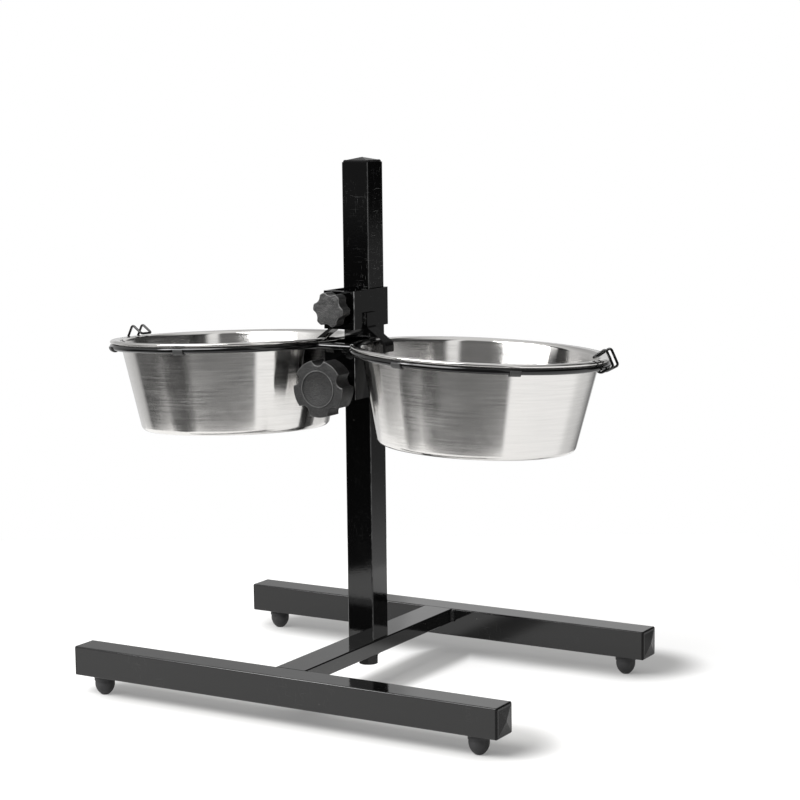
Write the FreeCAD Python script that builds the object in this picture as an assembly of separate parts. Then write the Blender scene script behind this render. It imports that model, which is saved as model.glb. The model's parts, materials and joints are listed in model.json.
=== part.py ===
"""Elevated feeder for two bowls: an H base, a square post, a clamped carrier and a hold-down.

Millimetres. X runs along the foot bars, +Y is the rear, +Z is up, and the floor is z = 0.
The origin is on the floor, on the post's axis.
"""
import FreeCAD
import Part

import math
import os

Vec = FreeCAD.Vector

# Base
BAR_SIZE = 30.0
BAR_LENGTH = 483.0
BAR_SPACING = 323.0
BAR_WALL = 1.5
TUBE_CORNER = 1.4
CROSSBAR_WIDTH = 34.0
CROSSBAR_HEIGHT = 15.0
CROSSBAR_WALL = 1.5
BASE_WELD_LEG = 4.0

# Feet
FOOT_HEIGHT = 20.0
FOOT_COLLAR_RADIUS = 10.7
FOOT_COLLAR_HEIGHT = 5.0
FOOT_DOME_RADIUS = 9.7
FOOT_FLAT_RADIUS = 3.5
FOOT_END_INSET = 24.5
FOOT_STEM_RADIUS = 4.0
FOOT_BARB_RADIUS = 5.5
FOOT_BARB_HEIGHT = 4.0

# Tube caps
CAP_FLANGE = 2.2
CAP_CHAMFER = 1.2
CAP_PYRAMID = 2.0
CAP_PYRAMID_MARGIN = 3.0
CAP_PLUG_DEPTH = 12.0
CAP_PLUG_WALL = 2.0
CAP_PLUG_CLEARANCE = 0.1
POST_CAP_PYRAMID = 2.8
POST_CAP_INSET = 0.8

# Post and its bolt
POST_SIZE = 30.0
POST_LENGTH = 487.0
POST_WALL = 1.5
INSERT_HEIGHT = 14.0
BOLT_RADIUS = 6.0
BOLT_ACROSS_FLATS = 19.0
BOLT_HEAD = 8.0
BOLT_CHAMFER_DEG = 30.0
BOLT_HOLE_CLEARANCE = 0.5
BOLT_IN_INSERT = 12.0
THREAD_CLEARANCE = 0.05
WASHER_RADIUS = 12.0
WASHER_THICKNESS = 2.5
LOCK_WASHER_RADIUS = 10.0
LOCK_WASHER_THICKNESS = 2.6
LOCK_WASHER_SLIT = 2.0

# Both sleeves on the post
SLEEVE_WALL = 2.5
SLEEVE_CLEARANCE = 0.5
SLEEVE_CHAMBER = 30.5
SLEEVE_CORNER = 1.5

# Carrier
CARRIER_BOTTOM = 303.0
CARRIER_HEIGHT = 56.0
WIRE_RADIUS = 3.2
RING_OVERHANG = 0.4
RING_SLEEVE_GAP = 0.4
RING_DROOP_DEG = 2.3
RING_LEAN_DEG = 2.1
RIM_BELOW_SLEEVE_TOP = 2.0
BOWL_AXIS_Y = -22.5
ROD_WELD_RADIUS = 3.4
ROD_WELD_LENGTH = 9.0
RING_WELD_LENGTH = 26.0

# Ring clips
CLIP_LENGTH = 10.5
CLIP_WALL = 1.5
CLIP_TOP = 1.0
CLIP_ANGLES_DEG = (-9.5, 43.0, 137.0, 189.5)

# Bowls
BOWL_HEIGHT = 94.4
BOWL_SHEET = 0.9
RIM_RADIUS = 127.0
RIM_BEAD_RADIUS = 1.6
RIM_FLAT = 5.2
RIM_ROUND = 5.0
WALL_SLOPE_DEG = 12.2
BOWL_BOTTOM_ROUND = 5.5
RIM_SEAT_GAP = 0.3

# Bails
BAIL_WIRE_RADIUS = 1.25
BAIL_LEG_SPACING = 16.0
BAIL_EYE_GAP = 0.3
BAIL_EYE_START_DEG = 205.0
BAIL_EYE_END_DEG = 300.0
BAIL_BULGE = 12.5
BAIL_TOP_OUT = 4.0
BAIL_RISE = 18.0
BAIL_REACH = 8.0
BAIL_RIM_GAP = 1.0
BAIL_BEND = 2.6
LEFT_BAIL_ANGLE_DEG = 2.5
RIGHT_BAIL_ANGLE_DEG = 8.5

# Hold-down
HOLD_GAP = 14.0
HOLD_HEIGHT = 38.0
STRAP_WIDTH = 16.2
STRAP_THICKNESS = 3.0
STRAP_CENTRE_Y = -20.5
STRAP_ON_COLLAR = 15.4
STRAP_BEND_DROP = 4.5
STRAP_WALL_GAP = 6.6
STRAP_HOOK = 12.6
STRAP_BEND = 4.0
STRAP_WELD_RADIUS = 2.2

# Clamp screws
LARGE_KNOB_RISE = 15.0
LARGE_KNOB_RADIUS = 28.5
LARGE_KNOB_THICKNESS = 21.0
LARGE_KNOB_NOTCHES = 5
LARGE_NOTCH_RADIUS = 7.0
LARGE_NOTCH_DEPTH = 5.5
LARGE_NOTCH_PHASE_DEG = 90.0
LARGE_CUSP_ROUND = 0.9
LARGE_DISH_RADIUS = 17.5
LARGE_DISH_DEPTH = 1.6
LARGE_LIP_WIDTH = 1.0
LARGE_LIP_HEIGHT = 0.6
LARGE_HUB_RADIUS = 13.0
LARGE_HUB_LENGTH = 17.0
LARGE_STUD_RADIUS = 5.0
LARGE_PAD_HEIGHT = 26.0
SMALL_KNOB_RISE = 21.0
SMALL_KNOB_RADIUS = 17.5
SMALL_KNOB_THICKNESS = 14.0
SMALL_KNOB_VALLEYS = 6
SMALL_VALLEY_RADIUS = 7.5
SMALL_VALLEY_DEPTH = 3.2
SMALL_VALLEY_PHASE_DEG = 22.0
SMALL_CUSP_ROUND = 3.0
SMALL_HUB_RADIUS = 9.0
SMALL_HUB_LENGTH = 3.3
SMALL_STUD_RADIUS = 4.0
SMALL_PAD_HEIGHT = 24.0
KNOB_STANDOFF = 3.3
KNOB_EDGE_ROUND = 1.2
STUD_IN_KNOB = 11.0
STUD_HOLE_CLEARANCE = 0.6
NUT_THICKNESS = 8.0
NUT_FLATS_PER_RADIUS = 3.4
PAD_THICKNESS = 6.0
PAD_GAP = 0.3
PAD_SOCKET_DEPTH = 3.5
NOSE_SHARE = 0.6
NOSE_CLEARANCE = 0.08
NOSE_END_GAP = 0.3

# Places that follow from the sizes above
BASE_TOP = FOOT_HEIGHT + BAR_SIZE
CROSSBAR_BOTTOM = BASE_TOP - CROSSBAR_HEIGHT
CROSSBAR_LENGTH = BAR_SPACING - BAR_SIZE
POST_TOP = BASE_TOP + POST_LENGTH
SLEEVE_SIDE = POST_SIZE / 2 + SLEEVE_CLEARANCE + SLEEVE_WALL
SLEEVE_BACK = SLEEVE_SIDE
SLEEVE_FRONT = -(POST_SIZE / 2 + SLEEVE_CHAMBER + SLEEVE_WALL)
CARRIER_TOP = CARRIER_BOTTOM + CARRIER_HEIGHT
HOLD_BOTTOM = CARRIER_TOP + HOLD_GAP
RIM_HEIGHT = CARRIER_TOP - RIM_BELOW_SLEEVE_TOP
RIM_BEAD_CENTRE = RIM_RADIUS - RIM_BEAD_RADIUS
RING_RADIUS = RIM_RADIUS + RING_OVERHANG - WIRE_RADIUS
SEAT_DISTANCE = WIRE_RADIUS + RIM_SEAT_GAP + RIM_BEAD_RADIUS
RING_DROP = RIM_BEAD_RADIUS + math.sqrt(SEAT_DISTANCE ** 2 - (RIM_BEAD_CENTRE - RING_RADIUS) ** 2)
BOWL_AXIS_X = SLEEVE_SIDE + RING_SLEEVE_GAP + WIRE_RADIUS + RING_RADIUS
ROD_Y = SLEEVE_FRONT - WIRE_RADIUS
ROD_Z = CARRIER_TOP - WIRE_RADIUS
WALL_SLOPE = math.radians(WALL_SLOPE_DEG)
LARGE_KNOB_Z = CARRIER_BOTTOM + LARGE_KNOB_RISE
SMALL_KNOB_Z = HOLD_BOTTOM + SMALL_KNOB_RISE
KNOB_BACK = SLEEVE_FRONT - KNOB_STANDOFF
PAD_BACK = -(POST_SIZE / 2 + PAD_GAP)
PAD_FRONT = PAD_BACK - PAD_THICKNESS


def box(x_range, y_range, z_range):
    """Return a box between the given coordinate pairs."""
    low = Vec(x_range[0], y_range[0], z_range[0])
    return Part.makeBox(x_range[1] - x_range[0], y_range[1] - y_range[0], z_range[1] - z_range[0], low)


def lines_along(shape, axis):
    """Return the straight edges of a shape that run along an axis."""
    lines = [edge for edge in shape.Edges if isinstance(edge.Curve, Part.Line)]
    return [edge for edge in lines if edge.tangentAt(edge.FirstParameter).cross(axis).Length < 1e-6]


def edges_at(shape, height):
    """Return the edges of a shape that lie in the plane z = height."""
    boxes = [(edge, edge.BoundBox) for edge in shape.Edges]
    return [edge for edge, span in boxes if max(abs(span.ZMin - height), abs(span.ZMax - height)) < 1e-4]


def bar_stock(width, depth, length, corner):
    """Return a solid bar along +Z, centred on the axis, with rounded long edges."""
    stock = box((-width / 2, width / 2), (-depth / 2, depth / 2), (0, length))
    return stock.makeFillet(corner, lines_along(stock, Vec(0, 0, 1)))


def tube_stock(width, depth, length, wall, corner):
    """Return a rectangular tube along +Z, centred on the axis."""
    inner = box((-width / 2 + wall, width / 2 - wall), (-depth / 2 + wall, depth / 2 - wall), (0, length))
    return bar_stock(width, depth, length, corner).cut(inner)


def turned(shape, axis, degrees):
    """Return a copy of a shape turned about an axis through the origin."""
    copy = shape.copy()
    copy.rotate(Vec(0, 0, 0), axis, degrees)
    return copy


def along_x(shape):
    """Turn a shape that runs along +Z so that it runs along +X."""
    return turned(shape, Vec(0, 1, 0), 90)


def along_y(shape):
    """Turn a shape that runs along +Z so that it runs along +Y."""
    return turned(shape, Vec(1, 0, 0), -90)


def moved(shape, x, y, z):
    """Return a copy of a shape moved by the given distances."""
    copy = shape.copy()
    copy.translate(Vec(x, y, z))
    return copy


def mirrored(shape):
    """Return the mirror image of a shape across the plane x = 0."""
    return shape.mirror(Vec(0, 0, 0), Vec(1, 0, 0))


def hexagon(across_flats, height):
    """Return a hexagonal prism along +Z with its foot at z = 0."""
    corner = across_flats / math.sqrt(3)
    angles = [k * math.pi / 3 for k in range(6)] + [0.0]
    points = [Vec(corner * math.cos(angle), corner * math.sin(angle), 0) for angle in angles]
    return Part.Face(Part.makePolygon(points)).extrude(Vec(0, 0, height))


def revolved(edges):
    """Return the solid that a closed outline of edges in the XZ plane sweeps round the Z axis."""
    face = Part.Face(Part.Wire(Part.__sortEdges__(edges)))
    return face.revolve(Vec(0, 0, 0), Vec(0, 0, 1), 360)


def segment(start, end):
    """Return the straight edge between two points."""
    return Part.LineSegment(start, end).toShape()


def arc(centre, radius, start, end):
    """Return the arc in the XZ plane between two directions, in radians from +X towards +Z."""
    points = [centre + Vec(math.cos(a), 0, math.sin(a)) * radius for a in (start, (start + end) / 2, end)]
    return Part.Arc(*points).toShape()


def rounded_path(points, radius):
    """Return connected edges through points, with every corner rounded by one radius."""
    edges = []
    last = points[0]
    for before, corner, after in zip(points, points[1:], points[2:]):
        into = (corner - before).normalize()
        out = (after - corner).normalize()
        half_turn = into.getAngle(out) / 2
        enter = corner - into * (radius * math.tan(half_turn))
        leave = corner + out * (radius * math.tan(half_turn))
        inward = (out - into).normalize()
        middle = corner + inward * (radius / math.cos(half_turn) - radius)
        edges += [segment(last, enter), Part.Arc(enter, middle, leave).toShape()]
        last = leave
    return edges + [segment(last, points[-1])]


def swept(edges, section):
    """Return the solid that a closed wire sweeps along connected edges."""
    return Part.Wire(edges).makePipeShell([section], True, False)


def quarter_bead(radius, height, corner, start_deg):
    """Return an upright quarter-round weld bead that fills one quadrant at a corner."""
    bead = Part.makeCylinder(radius, height, Vec(0, 0, 0), Vec(0, 0, 1), 90)
    return moved(turned(bead, Vec(0, 0, 1), start_deg), corner.x, corner.y, corner.z)


def bowl_frame():
    """Return the placement of the right bowl: origin at the rim's centre, axis drooped and leant."""
    droop = FreeCAD.Rotation(Vec(0, 1, 0), RING_DROOP_DEG)
    lean = FreeCAD.Rotation(Vec(1, 0, 0), -RING_LEAN_DEG)
    return FreeCAD.Placement(Vec(BOWL_AXIS_X, BOWL_AXIS_Y, RIM_HEIGHT), droop.multiply(lean))


def in_bowl_frame(shape):
    """Return a copy of a shape carried from the bowl's own frame to its place on the right."""
    placed = shape.copy()
    placed.Placement = bowl_frame().multiply(placed.Placement)
    return placed


def foot_bar():
    """Return a foot bar along X above the line y = 0, with holes for the feet's stems."""
    bar = along_x(tube_stock(BAR_SIZE, BAR_SIZE, BAR_LENGTH, BAR_WALL, TUBE_CORNER))
    bar = moved(bar, -BAR_LENGTH / 2, 0, FOOT_HEIGHT + BAR_SIZE / 2)
    for side in (-1, 1):
        centre = Vec(side * (BAR_LENGTH / 2 - FOOT_END_INSET), 0, FOOT_HEIGHT)
        bar = bar.cut(Part.makeCylinder(FOOT_STEM_RADIUS, BAR_WALL, centre))
    return bar


def crossbar():
    """Return the crossbar along Y between the foot bars, holed for the post's bolt."""
    bar = along_y(tube_stock(CROSSBAR_WIDTH, CROSSBAR_HEIGHT, CROSSBAR_LENGTH, CROSSBAR_WALL, TUBE_CORNER))
    bar = moved(bar, 0, -CROSSBAR_LENGTH / 2, BASE_TOP - CROSSBAR_HEIGHT / 2)
    start = Vec(0, 0, CROSSBAR_BOTTOM)
    return bar.cut(Part.makeCylinder(BOLT_RADIUS + BOLT_HOLE_CLEARANCE, CROSSBAR_HEIGHT, start))


def base_welds():
    """Return the upright beads in the four corners between the crossbar and the foot bars."""
    low = CROSSBAR_BOTTOM + TUBE_CORNER
    height = CROSSBAR_HEIGHT - 2 * TUBE_CORNER
    x = CROSSBAR_WIDTH / 2
    y = CROSSBAR_LENGTH / 2
    corners = ((x, -y, 0), (-x, -y, 90), (-x, y, 180), (x, y, 270))
    return Part.makeCompound([quarter_bead(BASE_WELD_LEG, height, Vec(a, b, low), c) for a, b, c in corners])


def foot():
    """Return a domed rubber foot on the floor, with its collar, stem and barb."""
    collar_low = FOOT_HEIGHT - FOOT_COLLAR_HEIGHT
    stem_top = FOOT_HEIGHT + BAR_WALL
    flat = Vec(FOOT_FLAT_RADIUS, 0, 0)
    dome_top = Vec(FOOT_DOME_RADIUS, 0, collar_low)
    bulge = math.sin(math.pi / 4)
    dome_middle = Vec(
        FOOT_FLAT_RADIUS + (FOOT_DOME_RADIUS - FOOT_FLAT_RADIUS) * bulge, 0, collar_low * (1 - bulge)
    )
    points = [
        dome_top,
        Vec(FOOT_COLLAR_RADIUS, 0, collar_low),
        Vec(FOOT_COLLAR_RADIUS, 0, FOOT_HEIGHT),
        Vec(FOOT_STEM_RADIUS, 0, FOOT_HEIGHT),
        Vec(FOOT_STEM_RADIUS, 0, stem_top),
        Vec(FOOT_BARB_RADIUS, 0, stem_top),
        Vec(0, 0, stem_top + FOOT_BARB_HEIGHT),
        Vec(0, 0, 0),
        flat,
    ]
    lines = [segment(start, end) for start, end in zip(points, points[1:])]
    return revolved(lines + [Part.Arc(flat, dome_middle, dome_top).toShape()])


def pyramid(width, height):
    """Return a low four-sided pyramid on z = 0."""
    half = width / 2
    corners = [Vec(-half, -half, 0), Vec(half, -half, 0), Vec(half, half, 0), Vec(-half, half, 0)]
    apex = Vec(0, 0, height)
    faces = [Part.Face(Part.makePolygon(corners + corners[:1]))]
    for first, second in zip(corners, corners[1:] + corners[:1]):
        faces.append(Part.Face(Part.makePolygon([first, second, apex, first])))
    return Part.makeSolid(Part.makeShell(faces))


def tube_cap(tube_size, tube_wall, inset, rise):
    """Return a push-in tube cap: its flange on z = 0, its hollow plug below.

    The flange is smaller than the tube by inset on each side, and rise is its pyramid's height.
    """
    width = tube_size - 2 * inset
    flange = bar_stock(width, width, CAP_FLANGE, TUBE_CORNER)
    flange = flange.makeChamfer(CAP_CHAMFER, edges_at(flange, CAP_FLANGE))
    crown = moved(pyramid(width - 2 * CAP_PYRAMID_MARGIN, rise), 0, 0, CAP_FLANGE)
    plug = tube_size / 2 - tube_wall - CAP_PLUG_CLEARANCE
    core = plug - CAP_PLUG_WALL
    skirt = box((-plug, plug), (-plug, plug), (-CAP_PLUG_DEPTH, 0))
    skirt = skirt.cut(box((-core, core), (-core, core), (-CAP_PLUG_DEPTH, 0)))
    return flange.fuse(crown).fuse(skirt).removeSplitter()


def end_cap():
    """Return the cap in the right end of a foot bar that lies above the line y = 0."""
    cap = along_x(tube_cap(BAR_SIZE, BAR_WALL, 0, CAP_PYRAMID))
    return moved(cap, BAR_LENGTH / 2, 0, FOOT_HEIGHT + BAR_SIZE / 2)


def post():
    """Return the square post, standing on the crossbar."""
    return moved(tube_stock(POST_SIZE, POST_SIZE, POST_LENGTH, POST_WALL, TUBE_CORNER), 0, 0, BASE_TOP)


def post_cap():
    """Return the cap in the post's top end."""
    return moved(tube_cap(POST_SIZE, POST_WALL, POST_CAP_INSET, POST_CAP_PYRAMID), 0, 0, POST_TOP)


def post_insert():
    """Return the threaded block inside the post's foot."""
    half = POST_SIZE / 2 - POST_WALL - CAP_PLUG_CLEARANCE
    block = box((-half, half), (-half, half), (BASE_TOP, BASE_TOP + INSERT_HEIGHT))
    return block.cut(Part.makeCylinder(BOLT_RADIUS + THREAD_CLEARANCE, INSERT_HEIGHT, Vec(0, 0, BASE_TOP)))


def washer(radius, thickness, bottom):
    """Return a washer for the post's bolt."""
    disc = Part.makeCylinder(radius, thickness, Vec(0, 0, bottom))
    return disc.cut(Part.makeCylinder(BOLT_RADIUS + BOLT_HOLE_CLEARANCE, thickness, Vec(0, 0, bottom)))


def post_washer():
    """Return the flat washer under the crossbar."""
    return washer(WASHER_RADIUS, WASHER_THICKNESS, CROSSBAR_BOTTOM - WASHER_THICKNESS)


def post_lock_washer():
    """Return the slit spring washer between the bolt's head and the flat washer."""
    low = CROSSBAR_BOTTOM - WASHER_THICKNESS - LOCK_WASHER_THICKNESS
    disc = washer(LOCK_WASHER_RADIUS, LOCK_WASHER_THICKNESS, low)
    half = LOCK_WASHER_SLIT / 2
    return disc.cut(box((0, LOCK_WASHER_RADIUS), (-half, half), (low, low + LOCK_WASHER_THICKNESS)))


def post_bolt():
    """Return the hex bolt that pulls the post down on the crossbar."""
    head_top = CROSSBAR_BOTTOM - WASHER_THICKNESS - LOCK_WASHER_THICKNESS
    face_radius = BOLT_ACROSS_FLATS / 2
    spread = BOLT_HEAD / math.tan(math.radians(BOLT_CHAMFER_DEG))
    head = hexagon(BOLT_ACROSS_FLATS, BOLT_HEAD).common(
        Part.makeCone(face_radius, face_radius + spread, BOLT_HEAD)
    )
    shank = Part.makeCylinder(BOLT_RADIUS, BASE_TOP + BOLT_IN_INSERT - head_top, Vec(0, 0, BOLT_HEAD))
    return moved(head.fuse(shank), 0, 0, head_top - BOLT_HEAD)


def sleeve(bottom, height, stud_radius, stud_z):
    """Return a rectangular sleeve round the post, with a chamber in front and a hole for its stud."""
    depth = SLEEVE_BACK - SLEEVE_FRONT
    tube = tube_stock(2 * SLEEVE_SIDE, depth, height, SLEEVE_WALL, SLEEVE_CORNER)
    tube = moved(tube, 0, (SLEEVE_FRONT + SLEEVE_BACK) / 2, bottom)
    start = Vec(0, SLEEVE_FRONT, stud_z)
    return tube.cut(Part.makeCylinder(stud_radius + STUD_HOLE_CLEARANCE, SLEEVE_WALL, start, Vec(0, 1, 0)))


def weld_nut(stud_radius, stud_z):
    """Return the hex nut behind a sleeve's front wall."""
    nut = hexagon(NUT_FLATS_PER_RADIUS * stud_radius, NUT_THICKNESS)
    nut = nut.cut(Part.makeCylinder(stud_radius + THREAD_CLEARANCE, NUT_THICKNESS))
    return moved(along_y(nut), 0, SLEEVE_FRONT + SLEEVE_WALL, stud_z)


def pressure_pad(stud_radius, stud_z, height):
    """Return the pad between a stud and the post, with a socket for the stud's nose."""
    half = POST_SIZE / 2 + SLEEVE_CLEARANCE - PAD_GAP
    pad = box((-half, half), (PAD_FRONT, PAD_BACK), (stud_z - height / 2, stud_z + height / 2))
    socket = NOSE_SHARE * stud_radius + NOSE_CLEARANCE
    return pad.cut(Part.makeCylinder(socket, PAD_SOCKET_DEPTH, Vec(0, PAD_FRONT, stud_z), Vec(0, 1, 0)))


def stud(stud_radius, stud_z):
    """Return a knob's screw, from inside the knob to its nose in the pad's socket."""
    start = KNOB_BACK - STUD_IN_KNOB
    shoulder = PAD_FRONT - NOSE_END_GAP
    body = Part.makeCylinder(stud_radius, shoulder - start, Vec(0, start, stud_z), Vec(0, 1, 0))
    nose_start = Vec(0, shoulder, stud_z)
    nose = Part.makeCylinder(NOSE_SHARE * stud_radius, PAD_SOCKET_DEPTH, nose_start, Vec(0, 1, 0))
    return body.fuse(nose)


def grip(radius, thickness, cuts, cut_radius, cut_depth, phase_deg, cusp_round):
    """Return a knob's grip along +Z: a disc with rounded cuts round it, its front on top."""
    up = Vec(0, 0, 1)
    disc = turned(Part.makeCylinder(radius, thickness), up, phase_deg)
    cutter = Part.makeCylinder(cut_radius, thickness, Vec(radius + cut_radius - cut_depth, 0, 0))
    for k in range(cuts):
        disc = disc.cut(turned(cutter, up, phase_deg + 360.0 * k / cuts))
    disc = disc.makeFillet(cusp_round, lines_along(disc, up))
    return disc.makeFillet(KNOB_EDGE_ROUND, edges_at(disc, thickness))


def knob(grip_shape, hub_radius, hub_length, stud_radius, stud_z):
    """Return a knob in place: a grip on its hub, facing the front, with a blind bore for its stud."""
    hub = Part.makeCylinder(hub_radius, hub_length)
    body = moved(grip_shape, 0, 0, hub_length).fuse(hub)
    body = body.cut(Part.makeCylinder(stud_radius, STUD_IN_KNOB))
    return moved(turned(body, Vec(1, 0, 0), 90), 0, KNOB_BACK, stud_z)


def large_knob():
    """Return the carrier's five-notched knob, with a raised line round its dished face."""
    disc = grip(LARGE_KNOB_RADIUS, LARGE_KNOB_THICKNESS, LARGE_KNOB_NOTCHES, LARGE_NOTCH_RADIUS,
                LARGE_NOTCH_DEPTH, LARGE_NOTCH_PHASE_DEG, LARGE_CUSP_ROUND)
    face = LARGE_KNOB_THICKNESS
    lip = Part.makeCylinder(LARGE_DISH_RADIUS + LARGE_LIP_WIDTH, LARGE_LIP_HEIGHT, Vec(0, 0, face))
    lip = lip.cut(Part.makeCylinder(LARGE_DISH_RADIUS, LARGE_LIP_HEIGHT, Vec(0, 0, face)))
    ball = (LARGE_DISH_RADIUS ** 2 + LARGE_DISH_DEPTH ** 2) / (2 * LARGE_DISH_DEPTH)
    disc = disc.cut(Part.makeSphere(ball, Vec(0, 0, face + ball - LARGE_DISH_DEPTH))).fuse(lip)
    return knob(disc, LARGE_HUB_RADIUS, LARGE_HUB_LENGTH, LARGE_STUD_RADIUS, LARGE_KNOB_Z)


def small_knob():
    """Return the hold-down's six-lobed knob."""
    disc = grip(SMALL_KNOB_RADIUS, SMALL_KNOB_THICKNESS, SMALL_KNOB_VALLEYS, SMALL_VALLEY_RADIUS,
                SMALL_VALLEY_DEPTH, SMALL_VALLEY_PHASE_DEG, SMALL_CUSP_ROUND)
    return knob(disc, SMALL_HUB_RADIUS, SMALL_HUB_LENGTH, SMALL_STUD_RADIUS, SMALL_KNOB_Z)


def ring():
    """Return the right wire ring."""
    return in_bowl_frame(Part.makeTorus(RING_RADIUS, WIRE_RADIUS, Vec(0, 0, -RING_DROP)))


def front_rod(rings):
    """Return the rod across the sleeve's front, coped to both rings."""
    reach = BOWL_AXIS_X - math.sqrt(RING_RADIUS ** 2 - (ROD_Y - BOWL_AXIS_Y) ** 2)
    rod = Part.makeCylinder(WIRE_RADIUS, 2 * reach, Vec(-reach, ROD_Y, ROD_Z), Vec(1, 0, 0))
    for wire in rings:
        rod = rod.cut(wire)
    return max(rod.Solids, key=lambda solid: solid.Volume)


def carrier_welds(sleeve_shape, rod, rings):
    """Return the beads under the front rod and under each ring where it meets the sleeve."""
    ring_z = RIM_HEIGHT - RING_DROP + RING_RADIUS * math.sin(math.radians(RING_DROOP_DEG))
    beads = []
    for side in (-1, 1):
        start = Vec(side * SLEEVE_SIDE / 2 - ROD_WELD_LENGTH / 2, SLEEVE_FRONT, ROD_Z - WIRE_RADIUS)
        beads.append(Part.makeCylinder(ROD_WELD_RADIUS, ROD_WELD_LENGTH, start, Vec(1, 0, 0)))
        start = Vec(side * SLEEVE_SIDE, BOWL_AXIS_Y - RING_WELD_LENGTH / 2, ring_z - WIRE_RADIUS)
        beads.append(Part.makeCylinder(ROD_WELD_RADIUS, RING_WELD_LENGTH, start, Vec(0, 1, 0)))
    inside = box((-SLEEVE_SIDE, SLEEVE_SIDE), (SLEEVE_FRONT, SLEEVE_BACK), (CARRIER_BOTTOM, CARRIER_TOP))
    kept = []
    for bead in beads:
        for piece in (inside, sleeve_shape, rod) + rings:
            bead = bead.cut(piece)
        kept.append(max(bead.Solids, key=lambda solid: solid.Volume))
    return Part.makeCompound(kept)


def ring_clips():
    """Return the open-topped clips on the right ring's wire."""
    outer = WIRE_RADIUS + CLIP_WALL
    wire = Part.makeTorus(RING_RADIUS, WIRE_RADIUS, Vec(0, 0, -RING_DROP))
    start = Vec(-CLIP_LENGTH / 2, -RING_RADIUS, -RING_DROP)
    clip = Part.makeCylinder(outer, CLIP_LENGTH, start, Vec(1, 0, 0)).cut(wire)
    clip = clip.cut(box((-CLIP_LENGTH, CLIP_LENGTH), (-RING_RADIUS - outer, -RING_RADIUS + outer),
                        (-RING_DROP + CLIP_TOP, -RING_DROP + outer)))
    return Part.makeCompound([in_bowl_frame(turned(clip, Vec(0, 0, 1), angle)) for angle in CLIP_ANGLES_DEG])


def bowl_side(sheet):
    """Return one side of the right bowl's sheet, from the rim's bead to the axis, in the bowl's frame.

    sheet is the depth into the metal: 0 is the upper and inner side, BOWL_SHEET the other one.
    """
    bend_centre = Vec(RIM_BEAD_CENTRE - RIM_FLAT, 0, -RIM_ROUND)
    bend = RIM_ROUND - sheet
    floor_z = BOWL_SHEET - BOWL_HEIGHT - sheet
    bottom_round = BOWL_BOTTOM_ROUND + sheet
    wall_top = bend_centre + Vec(-math.cos(WALL_SLOPE), 0, math.sin(WALL_SLOPE)) * bend
    round_z = floor_z + bottom_round
    wall_low_z = round_z - bottom_round * math.sin(WALL_SLOPE)
    wall_low = Vec(wall_top.x - (wall_top.z - wall_low_z) * math.tan(WALL_SLOPE), 0, wall_low_z)
    round_centre = Vec(wall_low.x - bottom_round * math.cos(WALL_SLOPE), 0, round_z)
    return [
        segment(Vec(RIM_BEAD_CENTRE, 0, -sheet), Vec(bend_centre.x, 0, -sheet)),
        arc(bend_centre, bend, math.pi / 2, math.pi - WALL_SLOPE),
        segment(wall_top, wall_low),
        arc(round_centre, bottom_round, -WALL_SLOPE, -math.pi / 2),
        segment(Vec(round_centre.x, 0, floor_z), Vec(0, 0, floor_z)),
    ]


def bowl():
    """Return the right bowl: a spun sheet with a rolled rim."""
    lip = segment(Vec(RIM_BEAD_CENTRE, 0, 0), Vec(RIM_BEAD_CENTRE, 0, -BOWL_SHEET))
    middle = segment(Vec(0, 0, BOWL_SHEET - BOWL_HEIGHT), Vec(0, 0, -BOWL_HEIGHT))
    sheet = revolved(bowl_side(0.0) + bowl_side(BOWL_SHEET) + [lip, middle])
    bead = Part.makeTorus(RIM_BEAD_CENTRE, RIM_BEAD_RADIUS, Vec(0, 0, -RIM_BEAD_RADIUS))
    return in_bowl_frame(sheet.fuse(bead).removeSplitter())


def bail(angle_deg):
    """Return the right bail: it hooks under the ring's wire, bows out and up, and dips over the rim."""
    eye = WIRE_RADIUS + BAIL_EYE_GAP + BAIL_WIRE_RADIUS
    half = BAIL_LEG_SPACING / 2
    start = math.radians(BAIL_EYE_START_DEG)
    end = math.radians(BAIL_EYE_END_DEG)
    leave = Vec(eye * math.cos(end), 0, eye * math.sin(end))
    heading = Vec(-math.sin(end), 0, math.cos(end))
    bulge = leave + heading * ((BAIL_BULGE - leave.x) / heading.x)
    top = Vec(BAIL_TOP_OUT, 0, BAIL_RISE)
    dip = Vec(-BAIL_REACH, 0, RING_DROP + BAIL_RIM_GAP + BAIL_WIRE_RADIUS)
    front = Vec(0, -half, 0)
    back = Vec(0, half, 0)
    leg = [leave, bulge, top, dip]
    bends = rounded_path([p + front for p in leg] + [p + back for p in leg[::-1]], BAIL_BEND)
    first_eye = arc(front, eye, start, end)
    last_eye = arc(back, eye, end, start)
    heading = Vec(-math.sin(start), 0, math.cos(start))
    tip = front + Vec(eye * math.cos(start), 0, eye * math.sin(start))
    section = Part.Wire(Part.makeCircle(BAIL_WIRE_RADIUS, tip, heading))
    wire = moved(swept([first_eye] + bends + [last_eye], section), RING_RADIUS, 0, -RING_DROP)
    return in_bowl_frame(turned(wire, Vec(0, 0, 1), angle_deg))


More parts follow.
